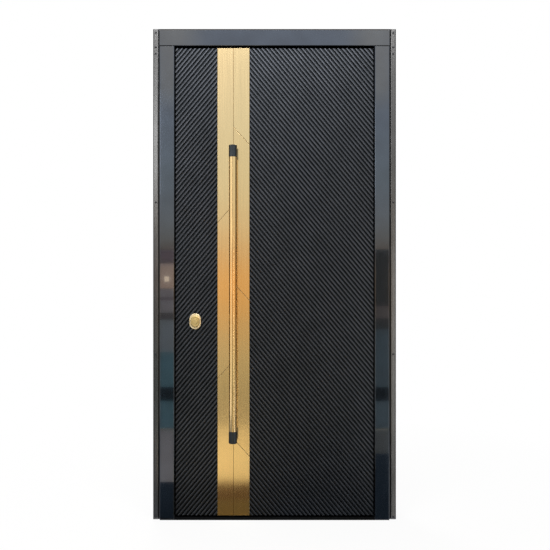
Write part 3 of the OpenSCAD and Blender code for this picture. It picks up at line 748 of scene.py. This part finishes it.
def floor_material():
    """Pale floor that is the white background from afar and keeps the door's soft shadow."""
    made = bpy.data.materials.new("pale_floor")
    made.use_nodes = True
    tree = made.node_tree
    tree.nodes.clear()
    matt = put(tree, "ShaderNodeBsdfDiffuse", {"Color": linear("#F6F6F5")})
    white = put(tree, "ShaderNodeEmission", {"Color": (1, 1, 1, 1), "Strength": 1.0})
    place = put(tree, "ShaderNodeTexCoord").outputs["Object"]
    away = put(tree, "ShaderNodeVectorMath", {0: place}, operation="LENGTH")
    # The shadow lies near the door, and the floor fades into the white background further off.
    fade = put(tree, "ShaderNodeMapRange",
               {"Value": away.outputs["Value"], "From Min": 0.8, "From Max": 2.4, "To Min": 0.9,
                "To Max": 1.0})
    path = put(tree, "ShaderNodeLightPath")
    seen = put(tree, "ShaderNodeMath",
               {0: path.outputs["Is Camera Ray"], 1: mirrored_light(tree, path)}, operation="MAXIMUM")
    share = put(tree, "ShaderNodeMath", {0: seen.outputs["Value"], 1: fade.outputs["Result"]},
                operation="MULTIPLY")
    mix = put(tree, "ShaderNodeMixShader",
              {0: share.outputs["Value"], 1: matt.outputs["BSDF"], 2: white.outputs["Emission"]})
    put(tree, "ShaderNodeOutputMaterial", {"Surface": mix.outputs["Shader"]})
    return made


def staged(name, corners, material):
    """A flat sheet of the studio, which isn't part of the door."""
    data = bpy.data.meshes.new(name)
    data.from_pydata(corners, [], [range(len(corners))])
    data.materials.append(material)
    made = bpy.data.objects.new(name, data)
    bpy.context.scene.collection.objects.link(made)
    return made


FLOOR_FRONT = -1.6
staged("studio_floor", [(-4, FLOOR_FRONT, 0), (4, FLOOR_FRONT, 0), (4, 5, 0), (-4, 5, 0)], floor_material())


def studio_card(name, tone):
    """Matt cloth or card of the studio, in one tone."""
    made, _, shader, _ = start_material(name)
    set_shader(shader, base_color=linear(tone), roughness=0.95, specular_ior_level=0.1)
    return made


CARD_TONES = {
    "brown_duvetyne": "#5C4834", "light_brown_duvetyne": "#6C5F43",
    "navy_cloth": "#36434D", "light_navy_cloth": "#3F4D57",
    "warm_card": "#FFEDC4", "pale_card": "#E4D6CC", "white_card": "#FFEDE4", "light_card": "#E3E5E0",
    "strip_card": "#FFFCF4", "strip_dim_card": "#8A8C90", "strip_dark_card": "#8C8F94",
    "blue_card": "#9DC6CA", "grey_blue_card": "#B3C6C9", "dim_card": "#969389", "dark_card": "#404749",
    "brown_card": "#E4CDBE", "dark_warm_card": "#9E9083",
    "rose_card": "#DCBAB9", "dark_rose_card": "#C7ABA9",
}
CARDS = {name: studio_card(name, tone) for name, tone in CARD_TONES.items()}


def flag(name, corners, card):
    """A cloth or card that only the gloss sees: it gives the metal the dark and bright bands of a
    furnished room."""
    made = staged(name, corners, CARDS[card])
    made.visible_camera = False
    made.visible_diffuse = False
    made.visible_shadow = False
    return made


CLOTH_REACH = -0.6  # where the dark cloth on the floor ends
CARD_REACH = -1.85  # where the cards on the floor end
DOOR_LINE = -0.03  # where both start, just in front of the door
SIGHT_DISTANCE = 3.2  # of the eye from the gloss
BOARD_SIGHT = (0.436, 0.507)  # x of a side board's two edges
STRIP_SIGHT = (0.507, 1.4)  # x of a wall strip, and far out to its side


def on_floor(left, right, front, back, z=0.002):
    """Corners of a sheet that lies on the floor."""
    return [(left, front, z), (right, front, z), (right, back, z), (left, back, z)]


def on_sight_line(side, edges, front, back=DOOR_LINE):
    """Corners of a sheet on the floor between two lines of sight: edges holds the x of the inner
    and the outer one where they leave the door, mirrored."""
    inner, outer = edges
    z = 0.004
    return [(side * x * (1 - y / SIGHT_DISTANCE), y, z)
            for x, y in ((inner, front), (outer, front), (outer, back), (inner, back))]


def upright(left, right, low, high, y):
    """Corners of a sheet that stands across the room."""
    return [(left, y, low), (right, y, low), (right, y, high), (left, y, high)]


flag("floor_cloth", on_floor(-2.2, 2.2, CARD_REACH, DOOR_LINE, 0.001), "navy_cloth")
flag("gold_near_cloth", on_floor(-0.5, 0.0, -0.3, DOOR_LINE), "light_brown_duvetyne")
flag("gold_cloth", on_floor(-0.5, 0.0, CLOTH_REACH, -0.3), "brown_duvetyne")
flag("gold_card", on_floor(-0.55, -0.08, CARD_REACH, CLOTH_REACH), "warm_card")
# The frame's outer parts mirror the floor further out, each along its own line of sight.
for number, side, reach, board_cloth, board_card, strip in (
        (0, -1, -0.6, "navy_cloth", "pale_card", "strip_dark_card"),
        (2, 1, -1.2, "light_navy_cloth", "dim_card", "strip_card")):
    flag("board_cloth_%d" % number, on_sight_line(side, BOARD_SIGHT, reach), board_cloth)
    flag("board_card_%d" % number, on_sight_line(side, BOARD_SIGHT, CARD_REACH, reach), board_card)
    flag("strip_card_%d" % number, on_sight_line(side, STRIP_SIGHT, CARD_REACH), strip)
# Dark cloths at both sides keep the frame's outer folds dark.
flag("right_flag", [(2.2, -0.5, 0), (2.2, 1.2, 0), (2.2, 1.2, 2.6), (2.2, -0.5, 2.6)], "brown_duvetyne")
flag("left_flag", [(-2.4, -0.3, 0), (-2.4, 2.4, 0), (-2.4, 2.4, 2.6), (-2.4, -0.3, 2.6)],
     "brown_duvetyne")
# Furniture and wall that the side boards mirror: left and right edge, then each form's foot, top
# and tone from the floor up. The left wall strip mirrors the last one.
FURNITURE = (
    (0.62, 0.762, (
        (0.07, 0.25, "grey_blue_card"), (0.25, 0.34, "dark_card"), (0.34, 0.72, "grey_blue_card"),
        (0.72, 0.79, "dim_card"), (0.79, 0.87, "brown_card"), (0.87, 1.24, "dim_card"))),
    (-0.755, -0.6, (
        (0.07, 0.25, "blue_card"), (0.25, 0.34, "dark_card"), (0.34, 0.57, "blue_card"),
        (0.57, 0.78, "light_card"), (0.78, 0.827, "dark_warm_card"), (0.827, 0.909, "white_card"),
        (0.909, 0.928, "dark_rose_card"), (0.928, 0.984, "white_card"),
        (1.148, 1.181, "dark_rose_card"), (1.181, 1.237, "rose_card"))),
    (-1.3, -0.755, ((0.07, 1.27, "strip_dim_card"),)),
)
forms = [(left, right, *form) for left, right, stack in FURNITURE for form in stack]
for number, (left, right, foot, top, tone) in enumerate(forms):
    flag("furniture_%d" % number, upright(left, right, foot, top, FLOOR_FRONT), tone)
# A card on the pull bar's own line of sight keeps its sheen even, and one over the head keeps the
# lamp out of the rounded top edge.
flag("bar_card", upright(-0.46, -0.32, 1.36, 1.9, -0.5), "white_card")
flag("head_card", upright(-0.51, 0.51, 2.165, 2.215, -0.07), "navy_cloth")


def sky(tree, height, across):
    """The room as the door mirrors it: a light ceiling, a pale wall, a warm low band and darker
    furniture towards the floor, each with its own edge. Height and across are the Z and the X of
    the direction in which the door's light leaves."""
    low, high = -0.4, 1.0
    level = put(tree, "ShaderNodeMapRange", {"Value": height, "From Min": low, "From Max": high})
    ramp = put(tree, "ShaderNodeValToRGB", {"Fac": level.outputs["Result"]})
    stops = ramp.color_ramp.elements
    # Height of each tone, in degrees above the horizon, with its linear colour.
    bands = [(-20, (0.06, 0.055, 0.045)), (-12.1, (0.12, 0.11, 0.085)),
             (-11.9, (0.78, 0.69, 0.50)), (-10, (0.74, 0.66, 0.48)),
             (-9.8, (0.22, 0.20, 0.14)), (-8.8, (0.20, 0.18, 0.12)),
             (-8.6, (0.61, 0.59, 0.44)), (-6.2, (0.60, 0.57, 0.42)),
             (-5.9, (0.66, 0.56, 0.41)), (-3.45, (0.66, 0.55, 0.37)),
             (-3.3, (0.46, 0.36, 0.24)), (-3.15, (0.87, 0.52, 0.21)),
             (-2.1, (0.88, 0.50, 0.18)), (-1.95, (0.60, 0.40, 0.20)), (-1.8, (1.04, 0.57, 0.20)),
             (0.75, (1.10, 0.66, 0.26)), (0.85, (0.60, 0.40, 0.25)), (2, (0.66, 0.48, 0.33)),
             (2.9, (0.86, 0.79, 0.66)), (5.3, (0.85, 0.85, 0.80)), (7.6, (0.85, 0.90, 0.87)),
             (12, (0.90, 0.94, 0.97)), (16.4, (0.93, 0.95, 0.99)), (26, (1.3, 1.3, 1.3)),
             (45, (1.6, 1.6, 1.6))]
    for k, (degrees, colour) in enumerate(bands):
        spot = (math.sin(math.radians(degrees)) - low) / (high - low)
        # A new ramp has its two end stops already.
        stop = stops.new(spot) if 0 < k < len(bands) - 1 else stops[k]
        stop.position = spot
        stop.color = (*colour, 1)
    # The ceiling is warmer over both sides of the room, where the side boards mirror it.
    aside = put(tree, "ShaderNodeMath", {0: across}, operation="ABSOLUTE")
    outer = put(tree, "ShaderNodeMapRange",
                {"Value": aside.outputs["Value"], "From Min": 0.09, "From Max": 0.12})
    inner = put(tree, "ShaderNodeMapRange",
                {"Value": aside.outputs["Value"], "From Min": 0.155, "From Max": 0.148})
    upper = put(tree, "ShaderNodeMapRange", {"Value": height, "From Min": 0.215, "From Max": 0.245})
    beside = put(tree, "ShaderNodeMath", {0: outer.outputs["Result"], 1: inner.outputs["Result"]},
                 operation="MULTIPLY")
    share = put(tree, "ShaderNodeMath", {0: beside.outputs["Value"], 1: upper.outputs["Result"]},
                operation="MULTIPLY")
    warmed = put(tree, "ShaderNodeMix",
                 {0: share.outputs["Value"], 6: ramp.outputs["Color"], 7: (1.45, 1.3, 1.08, 1)},
                 data_type="RGBA", blend_type="MULTIPLY")
    return warmed.outputs[2]


def world():
    """Soft studio light from all round, and a white background behind the door."""
    made = bpy.data.worlds.new("studio")
    bpy.context.scene.world = made
    made.use_nodes = True
    tree = made.node_tree
    tree.nodes.clear()
    direction = put(tree, "ShaderNodeTexCoord").outputs["Generated"]
    way = put(tree, "ShaderNodeSeparateXYZ", {"Vector": direction})
    path = put(tree, "ShaderNodeLightPath")
    mirrored = mirrored_light(tree, path)
    # The room lights the door more softly than it shows in the gloss, because the lamps light it too.
    level = put(tree, "ShaderNodeMapRange", {"Value": mirrored, "To Min": 0.3, "To Max": 1.0})
    room = put(tree, "ShaderNodeBackground",
               {"Color": sky(tree, way.outputs["Z"], way.outputs["X"]),
                "Strength": level.outputs["Result"]})
    white = put(tree, "ShaderNodeBackground", {"Color": (1, 1, 1, 1), "Strength": 1.0})
    # Metal that faces the back sees the white background too.
    behind = put(tree, "ShaderNodeMapRange", {"Value": way.outputs["Y"], "From Min": 0.3, "From Max": 0.6})
    mirrored_behind = put(tree, "ShaderNodeMath", {0: mirrored, 1: behind.outputs["Result"]},
                          operation="MULTIPLY")
    seen = put(tree, "ShaderNodeMath",
               {0: path.outputs["Is Camera Ray"], 1: mirrored_behind.outputs["Value"]},
               operation="MAXIMUM")
    mix = put(tree, "ShaderNodeMixShader",
              {0: seen.outputs["Value"], 1: room.outputs["Background"], 2: white.outputs["Background"]})
    put(tree, "ShaderNodeOutputWorld", {"Surface": mix.outputs["Shader"]})


world()


def softbox(name, at, aim, width, height, watts, colour=(1, 1, 1)):
    """A soft rectangular lamp that faces a point."""
    lamp = bpy.data.lights.new(name, "AREA")
    lamp.shape = "RECTANGLE"
    lamp.size = width
    lamp.size_y = height
    lamp.energy = watts
    lamp.color = colour
    made = bpy.data.objects.new(name, lamp)
    bpy.context.scene.collection.objects.link(made)
    made.location = at
    made.rotation_euler = (Vector(aim) - Vector(at)).to_track_quat("-Z", "Y").to_euler()
    made.visible_camera = False


# A broad lamp from above lights the ribs' tops, and three others fill in from the sides.
softbox("overhead_light", (0.0, -1.45, 3.15), (0, 0, 1.3), 1.8, 0.7, 50)
softbox("left_light", (-1.2, -2.4, 2.1), (-0.5, 0, 1.7), 0.5, 0.8, 8)
softbox("left_window", (-1.9, -1.5, 1.15), (-0.2, 0, 1.15), 1.0, 2.25, 6.5)
softbox("right_light", (1.2, -2.4, 0.6), (0.5, 0, 0.8), 0.4, 1.4, 5)
# The small lamp of the room and the wall round it, which the left side board mirrors.
softbox("wall_lamp", (-0.708, -1.62, 1.047), (-0.708, 0, 1.047), 0.03, 0.034, 0.012, (1.0, 0.78, 0.5))
softbox("lit_wall", (-0.69, -1.66, 1.066), (-0.69, 0, 1.066), 0.19, 0.164, 0.068, (1.0, 0.76, 0.76))
# One broad lamp lights the inside of the door.
softbox("inside_light", (-1.2, 3.2, 2.6), (0, 0.1, 1.1), 1.6, 1.6, 70)

bpy.context.scene.view_settings.view_transform = "Standard"
